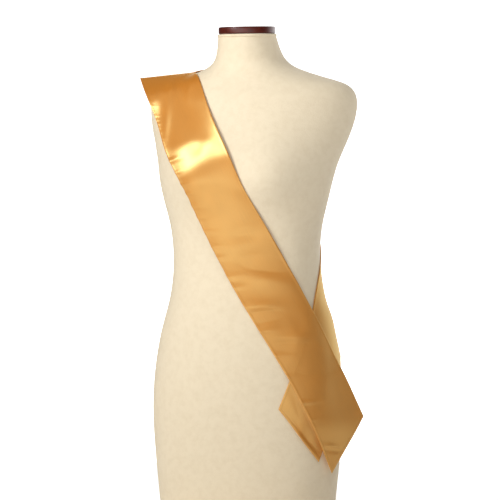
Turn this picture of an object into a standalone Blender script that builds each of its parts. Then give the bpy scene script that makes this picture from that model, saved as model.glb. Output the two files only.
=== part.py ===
"""A satin pageant sash worn over the right shoulder of a limbless display dress form.

Frame: metres, +Z up, the form's front faces -Y and its left side is +X. The origin is the middle
of the flat foot. The sash is two straight lengths of folded satin, joined by a mitred seam on top
of the right shoulder. They come down the front and the back, cross on the left hip with the back
length underneath, and end in slanted points.

Every table and size below is in millimetres and degrees.
"""

import math
from collections import namedtuple

import bmesh
import bpy
import numpy as np
from mathutils import Vector
from mathutils.bvhtree import BVHTree

METRES = 0.001

# Moves the middle of the whole part's box over the origin: the sash reaches past the form.
PART_SHIFT = (-2.8, -1.1, 0)

# Sash, the same two lengths front and back, cut as mirror images.
SASH_WIDTH = 106
SASH_WALL = 1.2
FRONT_LENGTH = 808
BACK_LENGTH = 842
SEAM_MITRE = 21
END_SLANT = 30
SEAM_GAP = 0.3
SEAM_INNER = (-102, 6, 785)
SEAM_OUTER = (-207, 6, 777)
SEAM_REACH = 70
END_REACH = 130
RESTING_GAP = 1.0
ROWS = 64
CELLS = 8
EASING = 10
TAUTNESS = 70

# Where the middle of a length runs, from the seam to its end. The first row is a little behind
# the seam and the last one beyond the end, for the slants. "face" is the way the cloth faces
# where it stands off the form, and "wrap" is how closely it bends round the form there.
Course = namedtuple("Course", "x y z face_x face_y face_z wrap")
FRONT_COURSE = [
    Course(-163, 30, 784, -0.07, 0.03, 1.0, 0),
    Course(-154, 6, 781, -0.07, -0.22, 0.97, 0),
    Course(-143, -17, 773, -0.1, -0.45, 0.88, 0),
    Course(-126, -38, 758, -0.06, -0.72, 0.69, 0),
    Course(-106, -65, 723, -0.08, -0.94, 0.34, 0),
    Course(-85, -85, 677, -0.12, -0.95, 0.28, 0.3),
    Course(-58, -108, 633, -0.16, -0.95, 0.3, 0.8),
    Course(-35, -116, 592, 0.0, -1.0, 0.0, 1),
    Course(-17, -108, 552, 0.0, -1.0, 0.0, 1),
    Course(1, -100, 514, 0.0, -1.0, 0.0, 1),
    Course(21, -95, 477, 0.1, -1.0, 0.0, 1),
    Course(42, -91, 438, 0.2, -0.97, 0.0, 1),
    Course(65, -88, 400, 0.3, -0.95, 0.0, 1),
    Course(87, -84, 364, 0.4, -0.9, 0.0, 1),
    Course(109, -78, 327, 0.5, -0.85, 0.0, 1),
    Course(129, -70, 291, 0.66, -0.75, 0.0, 0.7),
    Course(146, -60, 255, 0.75, -0.66, 0.0, 0.2),
    Course(159, -46, 219, 0.78, -0.62, 0.0, 0),
    Course(171, -32, 182, 0.79, -0.61, 0.0, 0),
    Course(182, -18, 146, 0.79, -0.61, 0.0, 0),
    Course(192, -6, 113, 0.79, -0.61, 0.0, 0),
    Course(202, 6, 78, 0.79, -0.61, 0.0, 0),
]
BACK_COURSE = [
    Course(-163, -18, 775, -0.07, -0.4, 0.9, 0),
    Course(-154, 6, 781, -0.07, -0.22, 0.97, 0),
    Course(-144, 34, 784, -0.07, 0.08, 1.0, 0),
    Course(-128, 66, 772, -0.1, 0.6, 0.8, 0.1),
    Course(-108, 88, 742, -0.1, 0.92, 0.35, 0.6),
    Course(-84, 98, 706, 0.0, 1.0, 0.1, 1),
    Course(-56, 106, 670, 0.0, 1.0, 0.0, 1),
    Course(-26, 110, 628, 0.0, 1.0, 0.0, 1),
    Course(8, 104, 580, 0.0, 1.0, 0.0, 1),
    Course(39, 92, 536, 0.2, 0.97, 0.0, 1),
    Course(67, 79, 494, 0.4, 0.9, 0.0, 1),
    Course(93, 64, 454, 0.5, 0.8, 0.0, 1),
    Course(116, 46, 415, 0.7, 0.7, 0.0, 1),
    Course(136, 24, 375, 0.9, 0.4, 0.0, 1),
    Course(150, 0, 335, 1.0, 0.0, 0.0, 1),
    Course(157, -23, 295, 0.95, -0.3, 0.0, 1),
    Course(155, -45, 252, 0.85, -0.5, 0.0, 1),
    Course(146, -61, 207, 0.75, -0.66, 0.0, 0.8),
    Course(133, -72, 163, 0.7, -0.71, 0.0, 0.5),
    Course(119, -82, 122, 0.68, -0.73, 0.0, 0.5),
    Course(106, -92, 80, 0.68, -0.73, 0.0, 0.5),
]

# Neck cap, a turned wooden disc that tilts forward with the neck.
CAP_RADIUS = 51.5
CAP_THICK = 13
CAP_ROUND = 3
CAP_SEGMENTS = 64
CAP_GAP = 0.3
NECK_TILT = 3

# Dress form, one row for each level: its height, half its width, where the widest part lies from
# front to back, its depth in front of and behind that, and how much its sides are slimmed.
Level = namedtuple("Level", "height half_width middle front back slim")
FORM_LEVELS = [
    Level(0, 162, 2, 94, 96, -0.06),
    Level(50, 167, 2, 97, 100, -0.06),
    Level(100, 172, 3, 101, 106, -0.06),
    Level(160, 176, 3, 105, 114, -0.06),
    Level(220, 175, 3, 108, 118, -0.06),
    Level(277, 168, 2, 107, 115, -0.06),
    Level(325, 158, 1, 103, 106, -0.06),
    Level(376, 143, 0, 98, 96, -0.05),
    Level(425, 136, -2, 91, 88, -0.04),
    Level(465, 136, -3, 88, 88, -0.03),
    Level(510, 141, -5, 89, 92, -0.02),
    Level(552, 152, -7, 92, 98, 0.0),
    Level(590, 161, -6, 96, 106, 0.02),
    Level(622, 168, 5, 105, 104, 0.05),
    Level(652, 178, 20, 114, 89, 0.08),
    Level(690, 190, 34, 119, 74, 0.12),
    Level(720, 195, 40, 118, 65, 0.15),
    Level(742, 193, 41, 112, 60, 0.16),
    Level(756, 184, 40, 103, 56, 0.16),
    Level(765, 170, 38, 96, 54, 0.16),
    Level(775, 137, 35, 88, 52, 0.15),
    Level(784, 108, 33, 82, 51, 0.12),
    Level(793, 84, 30, 76, 50, 0.08),
    Level(803, 69, 25, 70, 50, 0.04),
    Level(818, 60, 16, 63, 51, 0.0),
    Level(836, 55, 7, 57, 51, 0.0),
    Level(853, 52, 0, 53, 50, 0.0),
]
TILT_FROM = 803
AROUND = 48
RINGS_PER_LEVEL = 2
GUIDE_AROUND = 160
GUIDE_RINGS_PER_LEVEL = 5

# The bust, a swelling each side of the middle.
BUST_FULL = 26
BUST_APART = 80
BUST_HEIGHT = 590
BUST_WIDE = 44
BUST_ABOVE = 52
BUST_BELOW = 32


def curve(knots, rows, at):
    """A smooth curve through rows of numbers, one row at each knot, read at one place."""
    slopes = np.gradient(rows, knots, axis=0)
    i = int(np.clip(np.searchsorted(knots, at) - 1, 0, len(knots) - 2))
    step = knots[i + 1] - knots[i]
    t = (at - knots[i]) / step
    return (
        rows[i] * (1 + 2 * t) * (1 - t) ** 2
        + slopes[i] * step * t * (1 - t) ** 2
        + rows[i + 1] * t * t * (3 - 2 * t)
        + slopes[i + 1] * step * t * t * (t - 1)
    )


def unit(vector):
    return vector / np.linalg.norm(vector)


def bust(x, height):
    """How far the bust stands forward at a place on the front."""
    reach = BUST_ABOVE if height > BUST_HEIGHT else BUST_BELOW
    up = math.exp(-(((height - BUST_HEIGHT) / reach) ** 2) / 2)
    sides = (math.exp(-(((x - side * BUST_APART) / BUST_WIDE) ** 2) / 2) for side in (-1, 1))
    return BUST_FULL * up * sum(sides)


def form_ring(height, around):
    """The points round the form at one height, from its left side by way of its back."""
    heights = [row.height for row in FORM_LEVELS]
    level = Level(*curve(heights, np.array(FORM_LEVELS, float), height))
    rise = max(0.0, (height - TILT_FROM) / (heights[-1] - TILT_FROM)) ** 2
    tilt = math.tan(math.radians(NECK_TILT)) * rise
    ring = []
    for step in range(around):
        turn = math.tau * step / around
        side = math.cos(turn)
        x = level.half_width * side
        depth = level.back if math.sin(turn) > 0 else level.front
        y = math.sin(turn) * depth * (1 - level.slim * side * side)
        if math.sin(turn) < 0:
            y += math.sin(turn) * bust(x, height)
        ring.append((x, level.middle + y, height + tilt * (level.middle + y)))
    return ring


def form_rings(per_level, around):
    heights = []
    for low, high in zip(FORM_LEVELS, FORM_LEVELS[1:]):
        step = (high.height - low.height) / per_level
        heights += [low.height + step * i for i in range(per_level)]
    return [form_ring(height, around) for height in heights + [FORM_LEVELS[-1].height]]


def loft_faces(rings, around):
    """Index faces between closed rings that follow each other."""
    return [
        (r * around + i, r * around + j, (r + 1) * around + j, (r + 1) * around + i)
        for r in range(rings - 1)
        for i, j in ((i, (i + 1) % around) for i in range(around))
    ]


def form_surface(per_level, around):
    """The form's side as a search tree, for laying the cloth over it."""
    rings = form_rings(per_level, around)
    points = [point for ring in rings for point in ring]
    return BVHTree.FromPolygons(points, loft_faces(len(rings), around))


def nearest(guide, point):
    """The nearest place on the form and the way it faces there."""
    place, facing, _, _ = guide.find_nearest(Vector(point))
    return np.array(place), np.array(facing)


def floor_height(below, point, facing):
    """How far the cloth has to move along its facing to rest on what lies below it."""
    start = Vector(point + facing * 40)
    lifts = []
    for surface in below:
        place = surface.ray_cast(start, Vector(-facing), 80)[0]
        if place is not None:
            lifts.append((np.array(place) - point) @ facing + RESTING_GAP)
    return max(lifts, default=-80.0)


def smooth_along(rows, reach):
    """The mean of each row of numbers and those near it."""
    padded = np.pad(rows, ((reach, reach), (0, 0)), "edge")
    return sum(padded[i : i + len(rows)] for i in range(2 * reach + 1)) / (2 * reach + 1)


def lay_course(course, guide):
    """Samples the middle of a length every 2 mm: distance from the seam, place, facing, wrap."""
    rows = np.array(course, float)
    steps = np.linalg.norm(np.diff(rows[:, :3], axis=0), axis=1)
    knots = np.concatenate([[0.0], np.cumsum(steps)])
    sampled = np.array([curve(knots, rows, at) for at in np.arange(0, knots[-1], 2.0)])
    places, wraps = sampled[:, :3], np.clip(sampled[:, 6], 0, 1)
    facings = []
    for i, wrap in enumerate(wraps):
        place, facing = nearest(guide, places[i])
        facings.append(unit(facing * wrap + unit(sampled[i, 3:6]) * (1 - wrap)))
        on_form = place + facing * RESTING_GAP
        places[i] = places[i] * (1 - wrap) + on_form * wrap
    facings = smooth_along(np.array(facings), 4)
    run = np.concatenate([[0.0], np.cumsum(np.linalg.norm(np.diff(places, axis=0), axis=1))])
    seam = np.argmin(np.linalg.norm(places - rows[1, :3], axis=1))
    return run - run[seam], places, facings, wraps


def at_distance(laid, distance):
    """The place, direction, facing and wrap at one distance from the seam."""
    run, places, facings, wraps = laid
    i = int(np.clip(np.searchsorted(run, distance) - 1, 4, len(run) - 6))
    t = (distance - run[i]) / (run[i + 1] - run[i])
    place = places[i] + (places[i + 1] - places[i]) * t
    along = unit(places[i + 5] - places[i - 4])
    facing = unit(facings[i] + (facings[i + 1] - facings[i]) * np.clip(t, 0, 1))
    wrap = float(np.clip(wraps[i], 0, 1))
    return place, along, facing, wrap


def step_across(guide, place, sideways, wrap, distance):
    """Walks from the middle towards an edge, bending round the form as the wrap asks."""
    steps = math.ceil(distance / 7)
    pace = distance / max(1, steps)
    for _ in range(steps):
        ahead = place + sideways * pace
        on_form, facing = nearest(guide, ahead)
        ahead = ahead * (1 - wrap) + (on_form + facing * RESTING_GAP) * wrap
        turned = unit(ahead - place)
        place = place + turned * pace
        level = unit(turned - facing * (turned @ facing))
        sideways = unit(turned * (1 - wrap) + level * wrap)
    return place


def lay_strip(course, length, guide, below, outward):
    """The grid of points of one length, row by row from the seam, resting on what is below.

    "outward" is 1 where the outer edge lies to the left of the direction of travel, seen from
    outside, and -1 where it lies to the right.
    """
    laid = lay_course(course, guide)
    mitre = math.tan(math.radians(SEAM_MITRE))
    slant = math.tan(math.radians(END_SLANT))
    offsets = np.linspace(-0.5, 0.5, CELLS + 1) * SASH_WIDTH
    grid, facings, holds = [], [], []
    for row in range(ROWS + 1):
        middle = SEAM_GAP / 2 + (length - SEAM_GAP / 2) * row / ROWS
        near_seam = max(0.0, 1 - middle / SEAM_REACH)
        near_end = max(0.0, 1 - (length - middle) / END_REACH)
        line, ways = [], []
        for offset in offsets:
            distance = middle + offset * (near_end * slant - near_seam * mitre)
            place, along, facing, wrap = at_distance(laid, distance)
            sideways = unit(np.cross(along, facing)) * outward
            sideways_here = sideways * math.copysign(1, offset)
            line.append(step_across(guide, place, sideways_here, wrap, abs(offset)))
            ways.append(unit(np.cross(sideways, along)) * outward)
        grid.append(line)
        facings.append(ways)
        holds.append(min(max((middle - SEAM_REACH) / 100, 0.0), 1.0))
    grid, facings = np.array(grid), np.array(facings)
    hang_on_seam(grid, offsets)
    for _ in range(EASING):
        grid[1:-1] = (grid[:-2] + 2 * grid[1:-1] + grid[2:]) / 4
    tighten(grid, facings, holds, below)
    return grid


def hang_on_seam(grid, offsets):
    """Moves the first rows so that the length starts on the seam line."""
    shares = (offsets / SASH_WIDTH + 0.5)[:, None]
    seam = np.array(SEAM_INNER) * (1 - shares) + np.array(SEAM_OUTER) * shares
    seam[:, 1] += math.copysign(SEAM_GAP / 2, grid[4, 0, 1] - SEAM_INNER[1])
    shift = seam - grid[0]
    for row in range(12):
        fade = 0.5 + 0.5 * math.cos(math.pi * row / 12)
        grid[row] += shift * fade


def tighten(grid, facings, holds, below):
    """Pulls the cloth taut over hollows and lifts it clear of what it rests on."""
    loose = grid[1:]
    ways = facings[1:]
    for _ in range(TAUTNESS):
        straight = np.concatenate([(grid[:-2] + grid[2:]) / 2, 2 * grid[-2:-1] - grid[-3:-2]])
        pulls = ((straight - loose) * ways).sum(axis=2) * 0.5 * np.array(holds)[1:, None]
        pairs = zip(loose.reshape(-1, 3), ways.reshape(-1, 3))
        floors = np.reshape([floor_height(below, point, way) for point, way in pairs], pulls.shape)
        loose += ways * np.maximum(pulls, floors)[:, :, None]


def collection_for_parts():
    """An empty scene with one collection, named for the object."""
    for old in list(bpy.data.objects):
        bpy.data.objects.remove(old)
    parts = bpy.data.collections.new("pageant_sash_on_dress_form")
    bpy.context.scene.collection.children.link(parts)
    return parts


def material(name, colour, roughness):
    """A plain Principled finish."""
    made = bpy.data.materials.new(name)
    made.use_nodes = True
    shader = made.node_tree.nodes["Principled BSDF"]
    shader.inputs["Base Color"].default_value = (*colour, 1.0)
    shader.inputs["Roughness"].default_value = roughness
    return made


def add_object(parts, name, mesh, finish):
    mesh.shade_smooth()
    mesh.set_sharp_from_angle(angle=math.radians(50))
    mesh.materials.append(finish)
    made = bpy.data.objects.new(name, mesh)
    made.location = Vector(PART_SHIFT) * METRES
    parts.objects.link(made)
    return made


def mesh_from(name, points, faces):
    mesh = bpy.data.meshes.new(name)
    mesh.from_pydata([Vector(point) * METRES for point in points], [], faces)
    return mesh


def build_form(parts):
    """The torso and neck, a loft between level sections that all differ."""
    rings = form_rings(RINGS_PER_LEVEL, AROUND)
    faces = loft_faces(len(rings), AROUND)
    foot = tuple(reversed(range(AROUND)))
    top = tuple(range((len(rings) - 1) * AROUND, len(rings) * AROUND))
    points = [point for ring in rings for point in ring]
    finish = material("cream_jersey", (0.86, 0.79, 0.66), 0.85)
    return add_object(parts, "dress_form", mesh_from("dress_form", points, [*faces, foot, top]), finish)


def build_cap(parts):
    """The neck cap, a disc with rounded edges that tilts with the neck."""
    shape = bmesh.new()
    bmesh.ops.create_cone(
        shape,
        cap_ends=True,
        segments=CAP_SEGMENTS,
        radius1=CAP_RADIUS * METRES,
        radius2=CAP_RADIUS * METRES,
        depth=CAP_THICK * METRES,
    )
    mesh = bpy.data.meshes.new("neck_cap")
    shape.to_mesh(mesh)
    shape.free()
    cap = add_object(parts, "neck_cap", mesh, material("mahogany", (0.16, 0.035, 0.02), 0.35))
    cap.rotation_euler.x = math.radians(NECK_TILT)
    seat = FORM_LEVELS[-1].height + CAP_GAP + CAP_THICK / 2
    cap.location.z = seat * METRES
    edge = cap.modifiers.new("rounded edge", "BEVEL")
    edge.width = CAP_ROUND * METRES
    edge.segments = 4
    edge.limit_method = "ANGLE"
    return cap


def build_length(parts, name, grid, outward, finish):
    """One length of the sash: its laid grid, thickened away from the form."""
    rows, across = grid.shape[:2]
    faces = []
    for r in range(rows - 1):
        for c in range(across - 1):
            corner = r * across + c
            face = (corner, corner + 1, corner + across + 1, corner + across)
            faces.append(face if outward > 0 else face[::-1])
    made = add_object(parts, name, mesh_from(name, grid.reshape(-1, 3), faces), finish)
    wall = made.modifiers.new("cloth wall", "SOLIDIFY")
    wall.thickness = SASH_WALL * METRES
    wall.offset = 1.0
    wall.use_even_offset = True
    return made


def strip_surface(grid, outward):
    """The outer side of a laid length, a little wider all round, for the other one to rest on."""
    inner_side = 2 * grid[:, :1] - grid[:, 1:2]
    outer_side = 2 * grid[:, -1:] - grid[:, -2:-1]
    grid = np.concatenate([inner_side, grid, outer_side], axis=1)
    grid = np.concatenate([grid, 2 * grid[-1:] - grid[-2:-1]])
    rows, across = grid.shape[:2]
    out = np.cross(np.gradient(grid, axis=1), np.gradient(grid, axis=0)) * outward
    out /= np.linalg.norm(out, axis=2, keepdims=True)
    points = (grid + out * SASH_WALL).reshape(-1, 3)
    faces = [
        (r * across + c, r * across + c + 1, (r + 1) * across + c + 1, (r + 1) * across + c)
        for r in range(rows - 1)
        for c in range(across - 1)
    ]
    return BVHTree.FromPolygons([tuple(point) for point in points], faces)


def main():
    parts = collection_for_parts()
    guide = form_surface(GUIDE_RINGS_PER_LEVEL, GUIDE_AROUND)
    below = [guide, form_surface(RINGS_PER_LEVEL, AROUND)]
    build_form(parts)
    build_cap(parts)
    satin = material("gold_satin", (0.72, 0.42, 0.12), 0.3)
    back = lay_strip(BACK_COURSE, BACK_LENGTH, guide, below, -1)
    build_length(parts, "sash_back", back, -1, satin)
    front = lay_strip(FRONT_COURSE, FRONT_LENGTH, guide, [*below, strip_surface(back, -1)], 1)
    build_length(parts, "sash_front", front, 1, satin)


main()
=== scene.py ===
"""A gold satin pageant sash on a display dress form, laid out as a Blender add-on.

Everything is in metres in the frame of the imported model, +Z up, the form's front to -Y and its
left side to +X. The tables are in millimetres and degrees. The sash's two lengths take their
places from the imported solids, and this script adds what a sewn satin strip shows: folded edges,
puckers along the sewn edge, soft creases, hems and stitches.
"""

import math
import random
from collections import deque, namedtuple

import bmesh
import bpy
import numpy as np
from bpy.props import FloatProperty, FloatVectorProperty, IntProperty, PointerProperty
from mathutils import Matrix, Vector
from mathutils.bvhtree import BVHTree


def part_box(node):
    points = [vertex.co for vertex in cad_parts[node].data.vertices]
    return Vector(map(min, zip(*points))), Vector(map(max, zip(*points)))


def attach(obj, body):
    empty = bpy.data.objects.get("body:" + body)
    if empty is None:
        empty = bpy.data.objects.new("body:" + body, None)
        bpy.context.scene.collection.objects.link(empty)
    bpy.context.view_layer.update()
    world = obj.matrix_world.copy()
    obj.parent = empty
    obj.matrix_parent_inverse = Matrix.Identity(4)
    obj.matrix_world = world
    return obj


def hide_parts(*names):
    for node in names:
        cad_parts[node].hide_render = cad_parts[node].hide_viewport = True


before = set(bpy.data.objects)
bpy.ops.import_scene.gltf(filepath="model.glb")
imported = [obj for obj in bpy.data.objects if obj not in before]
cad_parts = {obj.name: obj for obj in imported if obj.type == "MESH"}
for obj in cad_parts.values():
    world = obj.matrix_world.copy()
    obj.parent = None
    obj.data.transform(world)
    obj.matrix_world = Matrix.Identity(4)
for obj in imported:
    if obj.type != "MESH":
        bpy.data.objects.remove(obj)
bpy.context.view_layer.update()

bl_info = {
    "name": "Pageant sash on a dress form",
    "version": (1, 0, 0),
    "blender": (4, 5, 0),
    "location": "View3D > Sidebar > Sash",
    "description": "Builds a satin sash, the dress form that carries it and a plain stage",
    "category": "Add Mesh",
}

MM = 0.001

# The cut of the two lengths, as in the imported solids: rows run from the seam to the end.
ROWS = 64
CELLS = 8
SASH_WIDTH = 106
FRONT_LENGTH = 808
BACK_LENGTH = 842
SEAM_MITRE = 21
END_SLANT = 30
SEAM_GAP = 0.3
SEAM_REACH = 70
END_REACH = 130
SEAM_INNER = (-104.8, 4.9, 785)
SEAM_OUTER = (-209.8, 4.9, 777)

# The fine grid that a length is laid out on: how far its rows lie apart, how many cells it has
# across, and how much these crowd towards the edges.
FINE_ROW = 1.7
FINE_CELLS = 56
CROWDING = 0.45

# A soft crease is a ridge with a trough below it, and a negative depth turns it over. "at" is how
# far it lies from the seam and "across" how far from the middle, towards the sewn outer edge. It
# is "wide" along the length and "long" along its own line, which leans down by "lean" for each
# millimetre across.
Crease = namedtuple("Crease", "at across wide long depth lean")
FRONT_CREASES = [
    Crease(358, 34, 16, 20, -0.9, 0.1),
    Crease(392, -6, 15, 32, -1.1, -0.3),
    Crease(466, -15, 17, 22, -3.0, -0.7),
    Crease(516, 32, 10, 20, 2.6, -0.5),
    Crease(540, 36, 9, 14, -1.1, -0.2),
    Crease(592, 14, 11, 30, 1.6, -0.6),
    Crease(797, 34, 4.5, 9, 1.2, -0.6),
]
BACK_CREASES = [
    Crease(150, 6, 9, 30, 1.0, 0.2),
    Crease(212, -12, 14, 26, -0.8, -0.3),
    Crease(296, 18, 12, 24, 1.0, 0.4),
    Crease(368, -20, 15, 22, 0.9, -0.5),
    Crease(430, 14, 12, 26, 1.2, 0.3),
    Crease(516, -8, 16, 30, 1.0, 0.5),
    Crease(745, 14, 13, 22, -1.1, 0.4),
    Crease(800, -2, 10, 28, 1.3, 0.9),
    Crease(842, 12, 9, 24, -1.2, 0.5),
]

# A soft ridge on its own, laid out in the same way.
Ridge = namedtuple("Ridge", "at across wide long height lean")
FRONT_RIDGES = [
    Ridge(62, 38, 13, 9, 0.6, 1.8),
    Ridge(112, 28, 16, 13, 1.3, 2.0),
    Ridge(60, 4, 14, 8, 0.9, 1.6),
    Ridge(78, -30, 12, 9, 0.7, 1.5),
    Ridge(130, 60, 26, 11, 1.8, 0.0),
    Ridge(190, 62, 38, 24, 3.0, 0.0),
    Ridge(192, -54, 50, 22, 2.4, 0.0),
    Ridge(199, 27, 19, 14, 1.3, 0.0),
    Ridge(206, -4, 10, 9, -0.4, 0.0),
    Ridge(212, -28, 12, 9, 0.4, 0.0),
    Ridge(249, -42, 21, 20, 1.9, 0.0),
    Ridge(650, -6, 13, 32, -2.0, -0.35),
    Ridge(765, 4, 22, 40, 1.6, -0.4),
    Ridge(735, 60, 50, 34, 2.6, 0.0),
]
BACK_RIDGES = [
    Ridge(66, 20, 13, 9, 0.8, 1.8),
    Ridge(600, 10, 16, 40, 1.0, -0.4),
]

# Where a length bends over the top of the bust or of the shoulder blade: a broad swell with a long
# slope above its crest and a shorter one below. "lean" is how the crest slants.
Bend = namedtuple("Bend", "at across long height above below lean")
FRONT_BEND = Bend(184, 22, 42, 2.7, 48, 22, -0.38)
BACK_BEND = Bend(120, 10, 40, 2.2, 60, 50, 0.2)

# Puckers where the outer edge was sewn and turned: how far from the seam, how far they reach in
# from the edge, how wide they are along it and how high they stand.
Pucker = namedtuple("Pucker", "at reach wide height")
FRONT_PUCKERS = [
    Pucker(195, 15, 4.0, 0.9),
    Pucker(222, 9, 3.0, 0.5),
    Pucker(250, 13, 4.0, 0.8),
    Pucker(272, 10, 3.2, 0.7),
    Pucker(298, 14, 4.2, 0.9),
    Pucker(320, 10, 3.4, 0.7),
    Pucker(347, 15, 4.4, 0.9),
    Pucker(376, 12, 3.6, 0.8),
    Pucker(398, 11, 3.4, 0.7),
    Pucker(435, 16, 4.6, 1.0),
    Pucker(456, 12, 3.8, 0.8),
    Pucker(515, 14, 5.0, 1.0),
    Pucker(547, 24, 5.5, 1.3),
    Pucker(598, 12, 4.0, 0.7),
    Pucker(640, 10, 3.8, 0.6),
    Pucker(693, 17, 3.4, 1.6),
    Pucker(728, 9, 3.4, 0.6),
]
BACK_PUCKERS = [
    Pucker(178, 12, 3.8, 0.7),
    Pucker(204, 15, 4.4, 0.9),
    Pucker(241, 10, 3.4, 0.6),
    Pucker(263, 14, 4.0, 0.9),
    Pucker(305, 12, 3.6, 0.8),
    Pucker(331, 15, 4.6, 0.9),
    Pucker(372, 10, 3.4, 0.7),
    Pucker(417, 16, 4.8, 1.0),
    Pucker(449, 12, 3.8, 0.8),
    Pucker(492, 13, 4.2, 0.8),
    Pucker(538, 11, 3.6, 0.7),
    Pucker(590, 15, 4.6, 0.9),
    Pucker(660, 10, 3.4, 0.6),
    Pucker(720, 12, 4.0, 0.6),
]

# Every pucker runs down the length by this much for each millimetre in from the edge.
PUCKER_LEAN = 0.45

# Where the close small puckers of the shoulder lie, about how far apart, and the least and the
# most of what is drawn by chance for each.
FINE_PUCKERS = (60, 160)
FINE_PUCKER_STEP = 4.6
FINE_SPACING = (0.75, 1.3)
FINE_REACH = (3, 7)
FINE_WIDTH = (1.4, 1.9)
FINE_HEIGHT = (0.14, 0.32)

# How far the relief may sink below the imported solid's own surface.
DEEPEST = 0.7

# The sewn shape of a length's rims. A bead is a small ridge or groove along a rim, and a drop is
# where the cloth turns under at it.
Bead = namedtuple("Bead", "inwards height width")
Drop = namedtuple("Drop", "depth width")
EDGE_BEAD = Bead(2.2, 0.5, 1.7)
EDGE_DROP = Drop(0.5, 0.9)
SEAM_DROP = Drop(0.7, 2.0)
END_DROP = Drop(0.3, 1.6)
HEM_GROOVE = Bead(6.0, -0.22, 1.1)

# Where the front length lies over the back one: the air between them, how far off the lower cloth
# is looked for, and how often the lift is spread to its neighbours.
CROSSING_GAP = 0.35
LIFT_SEARCH = 15
LIFT_SPREADS = 12

# The hem's stitches: their pitch in stitch lengths, the share of it that is thread, how far the
# row stays from the inner and the outer edge, and how far it stands on the cloth.
STITCH_PITCH = 1.25
STITCH_SHARE = 0.8
STITCH_MARGINS = (4, 6)
STITCH_STAND = 0.05

# The slanted seam end reaches above the seam's middle, so the cut is laid out this far down.
CUT_MARGIN = 30

# The dress form: its cap's thickness and tilt, how far its cover stands out past the cap, how far
# the cover's roll lies below the cap's middle, the share of the roll's radius that is sunk in the
# cover, and the steps round the roll and along it.
CAP_THICKNESS = 13
CAP_TILT = 3
COVER_PROUD = 0.8
ROLL_DROP = 6.8
ROLL_SUNK = 0.4
ROLL_STEPS = (12, 96)

# The sizes of what the materials draw: the streaks and clouds of the satin, the mottle of the
# jersey, the mahogany's grain along the disc, across it and up, and one twist of the thread in
# thread thicknesses.
STREAK = 45
CLOUD = 50
MOTTLE = 12
GRAIN = (60, 3.5, 6)
TWIST = 6

# Faces that meet at more than this many degrees have an edge between them.
SHARP = 50

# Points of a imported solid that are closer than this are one.
WELD = 0.01

# The floor, in metres, and how bright the camera alone sees it.
FLOOR_RADIUS = 1.3
FLOOR_STEPS = 96
FLOOR_GLOW = 0.75

# The room that the satin mirrors is dim but for its glows. Each has the way to its middle, the
# cosine to that way at which it starts to show, and its strength where it shows in full.
Glow = namedtuple("Glow", "way low strength")
ROOM_GROUND = 0.05
ROOM_GLOWS = [
    Glow((0.25, 0.95, -0.12), 0.45, 2.2),
    Glow((0.15, -0.82, -0.56), 0.6, 1.4),
    Glow((-0.38, -0.92, 0.1), 0.85, 1.05),
    Glow((-0.5, -0.5, 0.7), 0.8, 0.42),
]
GLOW_FULL = 0.95

# The key light shines on the chest from the picture's left and the fill from its right, all in
# metres. The fill's power is a share of the key's.
CHEST = (-0.06, -0.11, 0.63)
KEY_WAY = (-0.57, -0.68, 0.46)
KEY_DISTANCE = 2.4
KEY_WIDTH = 0.6
FILL_PLACE = (0.9, -0.9, 1.7)
FILL_TARGET = (0, 0, 0.8)
FILL_WIDTH = 1.2
FILL_SHARE = 0.25

# What the camera looks at, in metres.
CAMERA_TARGET = (0.0023, 0.0006, 0.4644)

Length = namedtuple("Length", "node length outward creases ridges bend puckers seed")
FRONT = Length(
    "sash_front", FRONT_LENGTH, 1, FRONT_CREASES, FRONT_RIDGES, FRONT_BEND, FRONT_PUCKERS, 11
)
BACK = Length("sash_back", BACK_LENGTH, -1, BACK_CREASES, BACK_RIDGES, BACK_BEND, BACK_PUCKERS, 23)


def linear(code, alpha=True):
    """Turns an sRGB hex colour into linear numbers."""
    parts = [int(code[i : i + 2], 16) / 255 for i in (1, 3, 5)]
    values = [p / 12.92 if p <= 0.04045 else ((p + 0.055) / 1.055) ** 2.4 for p in parts]
    return (*values, 1.0) if alpha else tuple(values)


def colour(name, description, code):
    """A colour that a user can change."""
    return FloatVectorProperty(
        name=name,
        description=description,
        default=linear(code),
        size=4,
        min=0.0,
        max=1.0,
        subtype="COLOR",
    )


def size(name, description, millimetres):
    """A size that a user can change, in metres as Blender keeps it."""
    return FloatProperty(
        name=name,
        description=description,
        default=millimetres * MM,
        unit="LENGTH",
    )


def plain(name, description, value, **more):
    """A plain number that a user can change."""
    return FloatProperty(name=name, description=description, default=value, **more)


class SashSettings(bpy.types.PropertyGroup):
    """Sizes and colours of the sash"""

    wall: size("Cloth wall", "Thickness of the folded satin, both layers", 1.2)
    edge: size("Edge rounding", "Radius of the folded and sewn edges", 0.45)
    hem: size("Hem", "How far the hem's stitches lie from the slanted end", 6.0)
    stitch: size("Stitch length", "Length of one hem stitch", 2.6)
    thread: size("Thread", "Thickness of the sewing thread", 0.35)
    warp: size("Warp", "Spacing of the satin's warp threads as drawn", 0.7)
    creases: plain("Creases", "Depth of the creases", 1.6, min=0.0)
    puckers: plain("Puckers", "Height of the puckers", 1.3, min=0.0)
    satin: colour("Satin", "Colour of the satin where it faces you", "#E08A30")
    deep: colour("Deep satin", "Colour of the satin in its darker threads", "#C4762A")
    # The pale satin is a painted sheen: it is mixed into the colour where the surface is seen at a
    # glancing angle.
    painted_sheen: colour("Pale satin", "Colour of the satin at a glancing look", "#E09A44")


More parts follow.
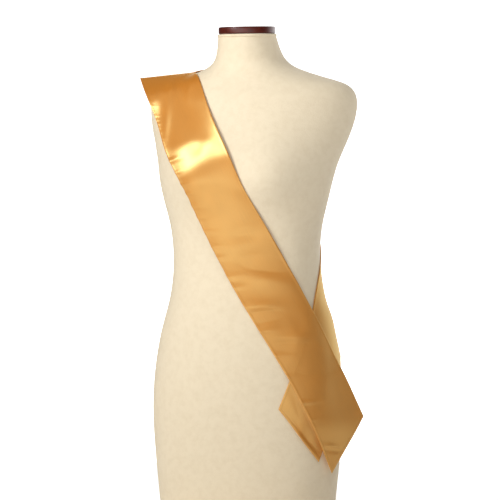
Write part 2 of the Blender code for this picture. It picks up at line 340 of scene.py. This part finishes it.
class FormSettings(bpy.types.PropertyGroup):
    """Sizes and colours of the dress form"""

    roll: size("Rolled edge", "Radius of the cover's roll under the cap", 2.6)
    wale: size("Wale", "Spacing of the knit's ribs as drawn", 1.8)
    cap_round: size("Cap rounding", "Radius of the cap's edges", 3.0)
    cap_steps: IntProperty(
        name="Cap steps",
        description="Steps round the cap",
        default=128,
        min=16,
    )
    jersey: colour("Jersey", "Colour of the cover", "#F2E2C4")
    # The deeper ivory goes on random mottled patches of the cover, not by where its hollows lie.
    shade: colour("Jersey shade", "Colour in the cover's hollows", "#E4D1AF")
    wood: colour("Mahogany", "Colour of the cap's wood", "#6A2212")
    grain: colour("Grain", "Colour of the wood's darker grain", "#300D07")


class StageSettings(bpy.types.PropertyGroup):
    """Floor, light and camera"""

    floor: colour("Floor", "Colour of the floor", "#F7F5F2")
    key: plain("Key", "Power of the key light", 30.5, unit="POWER")
    distance: size("Distance", "From the camera to the form", 6000)
    turn: plain(
        "Turn",
        "How far the camera stands to the form's left",
        math.radians(18),
        subtype="ANGLE",
    )


def add_node(tree, kind, inputs=None, **settings):
    """Adds a shader node. An input is a plain value or another node's output."""
    made = tree.nodes.new(kind)
    for key, value in settings.items():
        setattr(made, key, value)
    for key, value in (inputs or {}).items():
        if isinstance(value, bpy.types.NodeSocket):
            tree.links.new(value, made.inputs[key])
        else:
            made.inputs[key].default_value = value
    return made


def new_material(name):
    """An empty material with its Principled shader."""
    made = bpy.data.materials.new(name)
    made.use_nodes = True
    return made, made.node_tree, made.node_tree.nodes["Principled BSDF"]


def satin_material(sash):
    """Polyester satin: long warp floats lie along the strip, so light smears across them in soft
    bands in the cloth's own gold, and the surface between is smooth and a little deeper. Seen at a
    glancing angle its colour turns to a paler gold: a painted sheen."""
    made, tree, shader = new_material("polyester_satin")
    place = add_node(tree, "ShaderNodeUVMap", uv_map="cut")
    threads = add_node(
        tree,
        "ShaderNodeMapping",
        {"Vector": place.outputs["UV"], "Scale": (1 / sash.warp, 1 / (STREAK * MM), 1)},
    )
    # Real warp threads are 0.1 mm apart; they are drawn coarser, or they would not show.
    warp = add_node(
        tree,
        "ShaderNodeTexNoise",
        {"Vector": threads.outputs[0], "Scale": 1.0, "Detail": 2.0, "Roughness": 0.5},
    )
    cloudy = add_node(
        tree,
        "ShaderNodeTexNoise",
        {
            "Vector": place.outputs["UV"],
            "Scale": 1 / (CLOUD * MM),
            "Detail": 2.0,
            "Roughness": 0.5,
        },
    )
    mixed = add_node(
        tree,
        "ShaderNodeMath",
        {0: warp.outputs["Fac"], 1: cloudy.outputs["Fac"]},
        operation="MULTIPLY",
    )
    shade = add_node(
        tree,
        "ShaderNodeMapRange",
        {"Value": mixed.outputs[0], "From Min": 0.12, "From Max": 0.4, "To Max": 0.35},
    )
    body = add_node(
        tree,
        "ShaderNodeMix",
        {"Factor": shade.outputs[0], 6: sash.satin, 7: sash.deep},
        data_type="RGBA",
    )
    # Painted sheen: towards a glancing look the colour is mixed to the paler gold.
    sheen_facing = add_node(tree, "ShaderNodeLayerWeight", {"Blend": 0.15})
    with_painted_sheen = add_node(
        tree,
        "ShaderNodeMix",
        {"Factor": sheen_facing.outputs["Facing"], 6: body.outputs[2], 7: sash.painted_sheen},
        data_type="RGBA",
    )
    rough = add_node(
        tree,
        "ShaderNodeMapRange",
        {"Value": warp.outputs["Fac"], "To Min": 0.34, "To Max": 0.4},
    )
    bump = add_node(
        tree,
        "ShaderNodeBump",
        {"Height": warp.outputs["Fac"], "Strength": 0.12, "Distance": 0.0003},
    )
    across = add_node(tree, "ShaderNodeTangent", direction_type="UV_MAP", uv_map="cut")
    links = {
        "Base Color": with_painted_sheen.outputs[2],
        "Roughness": rough.outputs[0],
        "Normal": bump.outputs[0],
        "Tangent": across.outputs[0],
    }
    for key, socket in links.items():
        tree.links.new(socket, shader.inputs[key])
    shader.inputs["Anisotropic"].default_value = 0.93
    shader.inputs["IOR"].default_value = 2.2
    shader.inputs["Specular IOR Level"].default_value = 1.0
    shader.inputs["Specular Tint"].default_value = linear("#FFF5AA")
    return made


def thread_material(sash):
    """Polyester sewing thread: two plies twisted together, a shade deeper than the satin."""
    made, tree, shader = new_material("polyester_thread")
    place = add_node(tree, "ShaderNodeTexCoord")
    plies = add_node(
        tree,
        "ShaderNodeTexWave",
        {"Vector": place.outputs["Object"], "Scale": 1 / (sash.thread * TWIST)},
        bands_direction="DIAGONAL",
    )
    body = add_node(
        tree,
        "ShaderNodeMix",
        {"Factor": plies.outputs["Fac"], 6: sash.deep, 7: sash.satin},
        data_type="RGBA",
    )
    tree.links.new(body.outputs[2], shader.inputs["Base Color"])
    shader.inputs["Roughness"].default_value = 0.5
    return made


def jersey_material(form):
    """Cotton jersey: a fine, matt knit whose ribs run up the form, ivory and softly mottled."""
    made, tree, shader = new_material("cotton_jersey")
    place = add_node(tree, "ShaderNodeTexCoord")
    # Real wales are 0.8 mm apart; they are drawn coarser, or they would not show.
    per_wale = 1 / form.wale
    ribs = add_node(
        tree,
        "ShaderNodeMapping",
        {"Vector": place.outputs["Object"], "Scale": (per_wale, per_wale, 0.6 / form.wale)},
    )
    knit = add_node(
        tree,
        "ShaderNodeTexNoise",
        {"Vector": ribs.outputs[0], "Scale": 1.0, "Detail": 1.0},
    )
    mottle = add_node(
        tree,
        "ShaderNodeTexNoise",
        {
            "Vector": place.outputs["Object"],
            "Scale": 1 / (MOTTLE * MM),
            "Detail": 3.0,
            "Roughness": 0.6,
        },
    )
    # The mottle alone says where the deeper ivory goes, up to a share of 0.4.
    patches = add_node(
        tree,
        "ShaderNodeMapRange",
        {"Value": mottle.outputs["Fac"], "From Min": 0.4, "From Max": 0.75, "To Max": 0.4},
    )
    body = add_node(
        tree,
        "ShaderNodeMix",
        {"Factor": patches.outputs[0], 6: form.jersey, 7: form.shade},
        data_type="RGBA",
    )
    height = add_node(
        tree,
        "ShaderNodeMath",
        {0: knit.outputs["Fac"], 1: mottle.outputs["Fac"]},
        operation="ADD",
    )
    bump = add_node(
        tree,
        "ShaderNodeBump",
        {"Height": height.outputs[0], "Strength": 0.35, "Distance": 0.0006},
    )
    tree.links.new(body.outputs[2], shader.inputs["Base Color"])
    tree.links.new(bump.outputs[0], shader.inputs["Normal"])
    shader.inputs["Roughness"].default_value = 0.85
    shader.inputs["Sheen Weight"].default_value = 0.15
    shader.inputs["Sheen Roughness"].default_value = 0.5
    return made


def mahogany_material(form):
    """Turned mahogany under varnish: red-brown, with fine darker grain across the disc and a
    clear gloss that keeps the grain visible."""
    made, tree, shader = new_material("varnished_mahogany")
    place = add_node(tree, "ShaderNodeTexCoord")
    along = add_node(
        tree,
        "ShaderNodeMapping",
        {
            "Vector": place.outputs["Object"],
            "Scale": tuple(1 / (width * MM) for width in GRAIN),
        },
    )
    grain = add_node(
        tree,
        "ShaderNodeTexNoise",
        {"Vector": along.outputs[0], "Scale": 1.0, "Detail": 4.0, "Distortion": 0.4},
    )
    body = add_node(
        tree,
        "ShaderNodeMix",
        {"Factor": grain.outputs["Fac"], 6: form.grain, 7: form.wood},
        data_type="RGBA",
    )
    bump = add_node(
        tree,
        "ShaderNodeBump",
        {"Height": grain.outputs["Fac"], "Strength": 0.15, "Distance": 0.0002},
    )
    tree.links.new(body.outputs[2], shader.inputs["Base Color"])
    tree.links.new(bump.outputs[0], shader.inputs["Normal"])
    shader.inputs["Roughness"].default_value = 0.38
    shader.inputs["Coat Weight"].default_value = 0.25
    shader.inputs["Coat Roughness"].default_value = 0.18
    return made


def paper_material(stage):
    """Seamless studio paper, matt and nearly white, with the faint clouding of its pulp. Its
    glow is for the camera alone, so that it lights nothing."""
    made, tree, shader = new_material("studio_paper")
    place = add_node(tree, "ShaderNodeTexCoord")
    pulp = add_node(
        tree,
        "ShaderNodeTexNoise",
        {"Vector": place.outputs["Object"], "Scale": 3.0, "Detail": 2.0},
    )
    light = add_node(
        tree,
        "ShaderNodeMapRange",
        {"Value": pulp.outputs["Fac"], "To Min": 0.97, "To Max": 1.0},
    )
    body = add_node(
        tree,
        "ShaderNodeMix",
        {"Factor": light.outputs[0], 6: linear("#E8E6E2"), 7: stage.floor},
        data_type="RGBA",
    )
    tree.links.new(body.outputs[2], shader.inputs["Base Color"])
    shader.inputs["Roughness"].default_value = 0.95
    shader.inputs["Emission Color"].default_value = stage.floor
    path = add_node(tree, "ShaderNodeLightPath")
    glow = add_node(
        tree,
        "ShaderNodeMath",
        {0: path.outputs["Is Camera Ray"], 1: FLOOR_GLOW},
        operation="MULTIPLY",
    )
    tree.links.new(glow.outputs[0], shader.inputs["Emission Strength"])
    return made


def add_piece(name, shape, material, slot=None):
    """Turns a bmesh into a smooth-shaded piece, which rides on the form when it is given a slot.
    """
    mesh = bpy.data.meshes.new(name)
    shape.to_mesh(mesh)
    shape.free()
    mesh.shade_smooth()
    mesh.materials.append(material)
    made = bpy.data.objects.new(name, mesh)
    bpy.context.scene.collection.objects.link(made)
    if slot:
        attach(made, "root")
    return made


def merged_copy(node):
    """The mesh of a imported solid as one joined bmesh."""
    shape = bmesh.new()
    shape.from_mesh(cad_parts[node].data)
    bmesh.ops.remove_doubles(shape, verts=shape.verts, dist=WELD * MM)
    return shape


def side_of_wall(shape, carrier):
    """The faces of a packed length's outer side: the larger side that lies further out."""
    shape.faces.ensure_lookup_table()
    sides, seen = [], set()
    for first in shape.faces:
        if first in seen:
            continue
        side, waiting = [], deque([first])
        seen.add(first)
        while waiting:
            face = waiting.popleft()
            side.append(face)
            for edge in face.edges:
                if edge.calc_face_angle(0) > math.radians(SHARP):
                    continue
                for other in edge.link_faces:
                    if other not in seen:
                        seen.add(other)
                        waiting.append(other)
        sides.append(side)
    broad = sorted(sides, key=len)[-2:]
    away = [
        np.mean([carrier.find_nearest(face.calc_center_median())[3] for face in side])
        for side in broad
    ]
    return broad[int(np.argmax(away))]


def hops(starts, links):
    """How many edges each vertex is from the nearest start."""
    found = dict.fromkeys(starts, 0)
    waiting = deque(starts)
    while waiting:
        here = waiting.popleft()
        for there in links[here]:
            if there not in found:
                found[there] = found[here] + 1
                waiting.append(there)
    return found


def strip_lattice(node, carrier):
    """The outer points of a packed length in millimetres, by row from the seam and by column
    from the folded inner edge."""
    shape = merged_copy(node)
    side = set(side_of_wall(shape, carrier))
    edges = {edge for face in side for edge in face.edges}
    rim = {edge for edge in edges if not all(face in side for face in edge.link_faces)}
    links, rim_links = {}, {}
    for edge in edges:
        first, second = edge.verts
        for table in (links, rim_links) if edge in rim else (links,):
            table.setdefault(first, []).append(second)
            table.setdefault(second, []).append(first)
    inner, outer = Vector(SEAM_INNER) * MM, Vector(SEAM_OUTER) * MM
    corner = min(rim_links, key=lambda vert: (vert.co - inner).length)
    loop = [corner, min(rim_links[corner], key=lambda vert: (vert.co - outer).length)]
    while len(loop) < len(rim_links):
        loop.append(next(vert for vert in rim_links[loop[-1]] if vert != loop[-2]))
    if len(loop) != 2 * (ROWS + CELLS):
        raise RuntimeError(f"{node} isn't a strip of {ROWS} by {CELLS} cells")
    rows = hops(loop[: CELLS + 1], links)
    columns = hops([corner, *loop[2 * CELLS + ROWS :]], links)
    lattice = np.zeros((ROWS + 1, CELLS + 1, 3))
    for vert, row in rows.items():
        lattice[row, columns[vert]] = vert.co / MM
    shape.free()
    return lattice


def read_spline(rows, at):
    """Reads a smooth curve through evenly spaced rows, at places counted in rows."""
    padded = np.concatenate([2 * rows[:1] - rows[1:2], rows, 2 * rows[-1:] - rows[-2:-1]])
    pulls = rows - (padded[:-2] - 2 * rows + padded[2:]) / 6
    pulls = np.concatenate([2 * pulls[:1] - pulls[1:2], pulls, 2 * pulls[-1:] - pulls[-2:-1]])
    first = np.clip(np.floor(at).astype(int), 0, len(rows) - 2)
    t = (at - first).reshape(-1, *[1] * (rows.ndim - 1))
    return (
        pulls[first] * (1 - t) ** 3
        + pulls[first + 1] * (3 * t**3 - 6 * t**2 + 4)
        + pulls[first + 2] * (-3 * t**3 + 3 * t**2 + 3 * t + 1)
        + pulls[first + 3] * t**3
    ) / 6


def place_in_cut(share, across, length):
    """How far each place of the grid lies from the seam, as the cloth was cut."""
    middle = SEAM_GAP / 2 + (length - SEAM_GAP / 2) * share
    near_seam = np.maximum(0, 1 - middle / SEAM_REACH) * math.tan(math.radians(SEAM_MITRE))
    near_end = np.maximum(0, 1 - (length - middle) / END_REACH)
    slope = near_end * math.tan(math.radians(END_SLANT)) - near_seam
    return middle[:, None] + across[None, :] * slope[:, None]


def crease_relief(at, across, strip):
    """The main bend, and soft ridges, alone and with troughs below them."""
    bend = strip.bend
    down = at - bend.at - bend.lean * across
    down = down / np.where(down < 0, bend.above, bend.below)
    aside = (across - bend.across) / bend.long
    relief = bend.height * np.exp(-(down**2) / 2 - aside**2 / 2)
    for ridge in strip.ridges:
        aside = across - ridge.across
        down = (at - ridge.at - ridge.lean * aside) / ridge.wide
        relief += ridge.height * np.exp(-((aside / ridge.long) ** 2) / 2 - down**2 / 2)
    for crease in strip.creases:
        aside = across - crease.across
        down = (at - crease.at - crease.lean * aside) / crease.wide
        fade = np.exp(-((aside / crease.long) ** 2) / 2 - down**2 / 2)
        relief -= crease.depth * down * fade
    return relief


def pucker_relief(at, across, strip):
    """Short ridges that run in from the sewn outer edge."""
    chance = random.Random(strip.seed)
    puckers = list(strip.puckers)
    where = FINE_PUCKERS[0]
    while where < FINE_PUCKERS[1]:
        drawn = [chance.uniform(*limits) for limits in (FINE_REACH, FINE_WIDTH, FINE_HEIGHT)]
        puckers.append(Pucker(where, *drawn))
        where += FINE_PUCKER_STEP * chance.uniform(*FINE_SPACING)
    inwards = SASH_WIDTH / 2 - across
    relief = np.zeros_like(at)
    for pucker in puckers:
        down = (at - pucker.at - PUCKER_LEAN * inwards) / pucker.wide
        fade = np.exp(-((inwards / pucker.reach) ** 2) / 2 - down**2 / 2)
        relief += pucker.height * fade
    return relief


def bead_relief(bead, inwards):
    """A small ridge or groove along a rim."""
    return bead.height * np.exp(-(((inwards - bead.inwards) / bead.width) ** 2))


def drop_relief(drop, inwards):
    """The cloth as it turns under at a rim."""
    return -drop.depth * np.exp(-inwards / drop.width)


def edge_relief(across, share, length):
    """The rounding of the folded and sewn edges, the seam's valley and the hem."""
    from_edge = SASH_WIDTH / 2 - np.abs(across)
    from_seam = length * share[:, None]
    from_end = length * (1 - share[:, None]) * math.cos(math.radians(END_SLANT))
    return (
        bead_relief(EDGE_BEAD, from_edge)
        + drop_relief(EDGE_DROP, from_edge)
        + drop_relief(SEAM_DROP, from_seam)
        + drop_relief(END_DROP, from_end)
        + bead_relief(HEM_GROOVE, from_end)
    )


def surface_ways(points, outward):
    """Unit vectors out of a grid of points."""
    ways = np.cross(np.gradient(points, axis=1), np.gradient(points, axis=0)) * outward
    return ways / np.linalg.norm(ways, axis=2, keepdims=True)


def lift_clear(points, ways, below, gap):
    """Lifts a grid of points, in millimetres, until it clears the surface under it."""
    lifts = np.zeros(points.shape[:2])
    for i, j in np.ndindex(lifts.shape):
        start = Vector(points[i, j] + ways[i, j] * LIFT_SEARCH) * MM
        hit = below.ray_cast(start, Vector(-ways[i, j]), 2 * LIFT_SEARCH * MM)[3]
        if hit is not None:
            lifts[i, j] = max(0.0, gap - (hit / MM - LIFT_SEARCH))
    least = lifts.copy()
    for _ in range(LIFT_SPREADS):
        wide = np.pad(lifts, 1, "edge")
        lifts = (wide[:-2, 1:-1] + wide[2:, 1:-1] + wide[1:-1, :-2] + wide[1:-1, 2:]) / 4
        lifts = np.maximum(lifts, least)
    return points + ways * lifts[:, :, None]


def strip_points(strip, sash, carrier, below=None):
    """The outer surface of a length as a fine grid: points, and their places in the cut."""
    share = np.linspace(0, 1, int(strip.length / FINE_ROW) + 1)
    step = np.linspace(-1, 1, FINE_CELLS + 1)
    crowded = (1 - CROWDING) * step + CROWDING * np.sin(step * math.pi / 2)
    across = crowded * SASH_WIDTH / 2
    points = read_spline(strip_lattice(strip.node, carrier), share * ROWS)
    columns = (across / SASH_WIDTH + 0.5) * CELLS
    points = read_spline(points.swapaxes(0, 1), columns).swapaxes(0, 1)
    at = place_in_cut(share, across, strip.length)
    wide = across[None, :] + 0 * at
    relief = crease_relief(at, wide, strip) * sash.creases
    relief += pucker_relief(at, wide, strip) * sash.puckers
    relief = np.maximum(relief, -DEEPEST)
    relief += edge_relief(wide, share, strip.length)
    ways = surface_ways(points, strip.outward)
    points = points + ways * relief[:, :, None]
    if below:
        points = lift_clear(points, ways, below, sash.wall / MM + CROSSING_GAP)
    return points, at, wide


def grid_tree(points):
    """A search tree for a grid of points, in metres."""
    rows, across = points.shape[:2]
    faces = [
        (r * across + c, r * across + c + 1, (r + 1) * across + c + 1, (r + 1) * across + c)
        for r in range(rows - 1)
        for c in range(across - 1)
    ]
    return BVHTree.FromPolygons([tuple(point) for point in points.reshape(-1, 3) * MM], faces)


def satin_strip(strip, sash, points, at, across, finish):
    """One length of the sash: a plain grid laid out on its points, then given its wall."""
    rows, cells = points.shape[0] - 1, points.shape[1] - 1
    shape = bmesh.new()
    bmesh.ops.create_grid(shape, x_segments=cells, y_segments=rows, size=1.0)
    places = {
        vert: (round((vert.co.y + 1) / 2 * rows), round((vert.co.x + 1) / 2 * cells))
        for vert in shape.verts
    }
    cut = shape.loops.layers.uv.new("cut")
    for face in shape.faces:
        for loop in face.loops:
            place = places[loop.vert]
            aside = (across[place] + SASH_WIDTH / 2) * MM
            loop[cut].uv = (aside, (at[place] + CUT_MARGIN) * MM)
    for vert, place in places.items():
        vert.co = points[place] * MM
    if strip.outward < 0:
        bmesh.ops.reverse_faces(shape, faces=shape.faces)
    made = add_piece(strip.node.replace("sash", "satin"), shape, finish, "gold_satin")
    wall = made.modifiers.new("cloth wall", "SOLIDIFY")
    wall.thickness = sash.wall
    wall.offset = -1.0
    wall.use_even_offset = True
    edge = made.modifiers.new("folded edges", "BEVEL")
    edge.width = sash.edge
    edge.segments = 3
    edge.limit_method = "ANGLE"
    edge.angle_limit = math.radians(60)
    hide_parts(strip.node)
    return made


def hem_stitches(strip, sash, points, finish):
    """A row of small stitches along the hem of a slanted end."""
    shape = bmesh.new()
    ways = surface_ways(points, strip.outward)
    rows, cells = points.shape[0] - 1, points.shape[1] - 1
    back = sash.hem / MM / math.cos(math.radians(END_SLANT)) / strip.length * rows
    row = rows - int(round(back))
    line = points[row] + ways[row] * STITCH_STAND
    run = np.concatenate([[0], np.cumsum(np.linalg.norm(np.diff(line, axis=0), axis=1))])
    pitch = sash.stitch / MM * STITCH_PITCH
    for start in np.arange(STITCH_MARGINS[0], run[-1] - STITCH_MARGINS[1], pitch):
        first, last = (
            np.array([np.interp(place, run, line[:, axis]) for axis in range(3)])
            for place in (start, start + pitch * STITCH_SHARE)
        )
        along = Vector(last - first).normalized()
        up = Vector(ways[row, int(np.interp(start, run, np.arange(cells + 1)))])
        aside = along.cross(up).normalized()
        turn = Matrix((along, aside, along.cross(aside))).transposed().to_4x4()
        middle = Vector((first + last) / 2) * MM
        half = Vector(last - first).length * MM / 2
        stretch = Matrix.Diagonal((half, sash.thread / 2, sash.thread / 2, 1))
        bmesh.ops.create_icosphere(
            shape,
            subdivisions=1,
            radius=1.0,
            matrix=Matrix.Translation(middle) @ turn @ stretch,
        )
    return add_piece(strip.node.replace("sash", "stitches"), shape, finish, "gold_satin")


class OBJECT_OT_dress_form_cover(bpy.types.Operator):
    """Makes the jersey cover of the dress form and its rolled edge at the neck"""

    bl_idname = "object.dress_form_cover"
    bl_label = "Dress form cover"

    def execute(self, context):
        form = context.scene.dress_form_settings
        finish = jersey_material(form)
        shape = merged_copy("dress_form")
        bmesh.ops.join_triangles(
            shape,
            faces=shape.faces,
            angle_face_threshold=math.radians(40),
            angle_shape_threshold=math.radians(60),
        )
        crease = shape.edges.layers.float.new("crease_edge")
        for edge in shape.edges:
            if edge.calc_face_angle(0) > math.radians(SHARP):
                edge[crease] = 1.0
        cover = add_piece("jersey_cover", shape, finish, "jersey_cover")
        smooth = cover.modifiers.new("smooth", "SUBSURF")
        smooth.levels = 2
        smooth.render_levels = 2
        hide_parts("dress_form")
        self.rolled_edge(form, finish)
        return {"FINISHED"}

    def rolled_edge(self, form, finish):
        """The edge of the cover, rolled under the cap: a small ring that follows the neck."""
        low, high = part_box("neck_cap")
        middle = (Vector(low) + Vector(high)) / 2
        radius = (high[0] - low[0]) / 2 + COVER_PROUD * MM - form.roll * ROLL_SUNK
        round_it, along_it = ROLL_STEPS
        shape = bmesh.new()
        ring = bmesh.ops.create_circle(shape, segments=round_it, radius=form.roll)["verts"]
        upright = Matrix.Rotation(math.pi / 2, 4, "X")
        outwards = Matrix.Translation((radius, 0, 0))
        bmesh.ops.transform(shape, matrix=outwards @ upright, verts=ring)
        bmesh.ops.spin(
            shape,
            geom=shape.edges[:],
            axis=(0, 0, 1),
            steps=along_it,
            angle=math.tau,
            use_merge=True,
        )
        bmesh.ops.recalc_face_normals(shape, faces=shape.faces)
        tilt = Matrix.Rotation(math.radians(CAP_TILT), 4, "X")
        drop = Vector((0, 0, ROLL_DROP * MM + form.roll))
        seat = Matrix.Translation(middle - drop)
        bmesh.ops.transform(shape, matrix=seat @ tilt, verts=shape.verts)
        return add_piece("cover_roll", shape, finish, "jersey_cover")


class OBJECT_OT_neck_cap_turned(bpy.types.Operator):
    """Turns the wooden neck cap"""

    bl_idname = "object.neck_cap_turned"
    bl_label = "Neck cap"

    def execute(self, context):
        form = context.scene.dress_form_settings
        low, high = (Vector(corner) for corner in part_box("neck_cap"))
        radius = (high.x - low.x) / 2
        shape = bmesh.new()
        bmesh.ops.create_cone(
            shape,
            cap_ends=True,
            segments=form.cap_steps,
            radius1=radius,
            radius2=radius,
            depth=CAP_THICKNESS * MM,
        )
        rims = [edge for edge in shape.edges if edge.calc_face_angle(0) > math.radians(SHARP)]
        bmesh.ops.bevel(
            shape,
            geom=rims,
            offset=form.cap_round,
            affect="EDGES",
            segments=6,
            profile=0.5,
            material=-1,
        )
        tilt = Matrix.Rotation(math.radians(CAP_TILT), 4, "X")
        seat = Matrix.Translation((low + high) / 2)
        bmesh.ops.transform(shape, matrix=seat @ tilt, verts=shape.verts)
        cap = add_piece("turned_neck_cap", shape, mahogany_material(form), "mahogany")
        cap.data.set_sharp_from_angle(angle=math.radians(SHARP))
        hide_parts("neck_cap")
        return {"FINISHED"}


class OBJECT_OT_satin_lengths(bpy.types.Operator):
    """Lays the front and back lengths of the sash, with their hems' stitches"""

    bl_idname = "object.satin_lengths"
    bl_label = "Satin lengths"

    def execute(self, context):
        sash = context.scene.sash_settings
        satin, thread = satin_material(sash), thread_material(sash)
        solid = merged_copy("dress_form")
        carrier = BVHTree.FromBMesh(solid)
        solid.free()
        below, rests = None, ["jersey_cover"]
        for strip in (BACK, FRONT):
            points, at, across = strip_points(strip, sash, carrier, below)
            piece = satin_strip(strip, sash, points, at, across, satin)
            stitches = hem_stitches(strip, sash, points, thread)
            below = grid_tree(points)
            rests.append(piece.name)
        return {"FINISHED"}


class SCENE_OT_sash_stage(bpy.types.Operator):
    """Sets out the floor, the soft studio light and the camera"""

    bl_idname = "scene.sash_stage"
    bl_label = "Stage"

    def execute(self, context):
        stage = context.scene.stage_settings
        shape = bmesh.new()
        bmesh.ops.create_circle(
            shape,
            cap_ends=True,
            segments=FLOOR_STEPS,
            radius=FLOOR_RADIUS,
        )
        floor = add_piece("paper_floor", shape, paper_material(stage))
        self.room(context)
        chest = Vector(CHEST)
        key_place = chest + Vector(KEY_WAY) * KEY_DISTANCE
        self.soft_light("softbox", stage.key, KEY_WIDTH, key_place, chest)
        fill_power = stage.key * FILL_SHARE
        fill = self.soft_light("fill", fill_power, FILL_WIDTH, FILL_PLACE, Vector(FILL_TARGET))
        fill.visible_glossy = False
        self.camera(context, stage)
        context.scene.view_settings.view_transform = "Standard"
        return {"FINISHED"}

    def room(self, context):
        """A dim room with soft glows at its back, low and level at its front, and high at the
        picture's left. The camera itself sees it white."""
        world = bpy.data.worlds.new("studio")
        world.use_nodes = True
        tree = world.node_tree
        way = add_node(tree, "ShaderNodeTexCoord")
        strength = ROOM_GROUND
        for glow in ROOM_GLOWS:
            toward = add_node(
                tree,
                "ShaderNodeVectorMath",
                {0: way.outputs["Generated"], 1: glow.way},
                operation="DOT_PRODUCT",
            )
            soft = add_node(
                tree,
                "ShaderNodeMapRange",
                {
                    "Value": toward.outputs["Value"],
                    "From Min": glow.low,
                    "From Max": GLOW_FULL,
                    "To Max": glow.strength,
                },
                interpolation_type="SMOOTHSTEP",
            )
            both = add_node(
                tree,
                "ShaderNodeMath",
                {0: soft.outputs[0], 1: strength},
                operation="ADD",
            )
            strength = both.outputs[0]
        path = add_node(tree, "ShaderNodeLightPath")
        seen = add_node(
            tree,
            "ShaderNodeMath",
            {0: strength, 1: path.outputs["Is Camera Ray"]},
            operation="MAXIMUM",
        )
        tree.links.new(seen.outputs[0], tree.nodes["Background"].inputs["Strength"])
        tree.nodes["Background"].inputs["Color"].default_value = linear("#FFFFFF")
        context.scene.world = world

    def soft_light(self, name, power, width, place, target):
        """A square soft light that faces its target."""
        lamp = bpy.data.lights.new(name, "AREA")
        lamp.energy = power
        lamp.size = width
        made = bpy.data.objects.new(name, lamp)
        made.location = place
        made.rotation_euler = (target - made.location).to_track_quat("-Z", "Y").to_euler()
        bpy.context.scene.collection.objects.link(made)
        return made

    def camera(self, context, stage):
        """A level camera at the photograph's angle."""
        lens = bpy.data.cameras.new("camera")
        lens.lens = 240
        lens.sensor_width = 36
        view = bpy.data.objects.new("camera", lens)
        away = Vector((math.sin(stage.turn), -math.cos(stage.turn), 0))
        view.location = Vector(CAMERA_TARGET) + away * stage.distance
        view.rotation_euler = (math.pi / 2, 0, stage.turn)
        context.scene.collection.objects.link(view)
        context.scene.camera = view


class VIEW3D_PT_sash(bpy.types.Panel):
    """The sash's pieces and their sizes"""

    bl_label = "Pageant sash"
    bl_space_type = "VIEW_3D"
    bl_region_type = "UI"
    bl_category = "Sash"

    def draw(self, context):
        layout = self.layout
        for name in ("sash_settings", "dress_form_settings", "stage_settings"):
            settings = getattr(context.scene, name)
            box = layout.box()
            for key in settings.bl_rna.properties.keys():
                if key not in ("rna_type", "name"):
                    box.prop(settings, key)
        for operator in OPERATORS:
            layout.operator(operator.bl_idname)


SETTINGS = {
    "sash_settings": SashSettings,
    "dress_form_settings": FormSettings,
    "stage_settings": StageSettings,
}
OPERATORS = (
    OBJECT_OT_dress_form_cover,
    OBJECT_OT_neck_cap_turned,
    OBJECT_OT_satin_lengths,
    SCENE_OT_sash_stage,
)


def register():
    for name, group in SETTINGS.items():
        bpy.utils.register_class(group)
        setattr(bpy.types.Scene, name, PointerProperty(type=group))
    for operator in (*OPERATORS, VIEW3D_PT_sash):
        bpy.utils.register_class(operator)


def unregister():
    for operator in (VIEW3D_PT_sash, *reversed(OPERATORS)):
        bpy.utils.unregister_class(operator)
    for name, group in reversed(SETTINGS.items()):
        delattr(bpy.types.Scene, name)
        bpy.utils.unregister_class(group)


def main():
    register()
    bpy.ops.object.dress_form_cover()
    bpy.ops.object.neck_cap_turned()
    bpy.ops.object.satin_lengths()
    bpy.ops.scene.sash_stage()


if __name__ == "__main__":
    main()
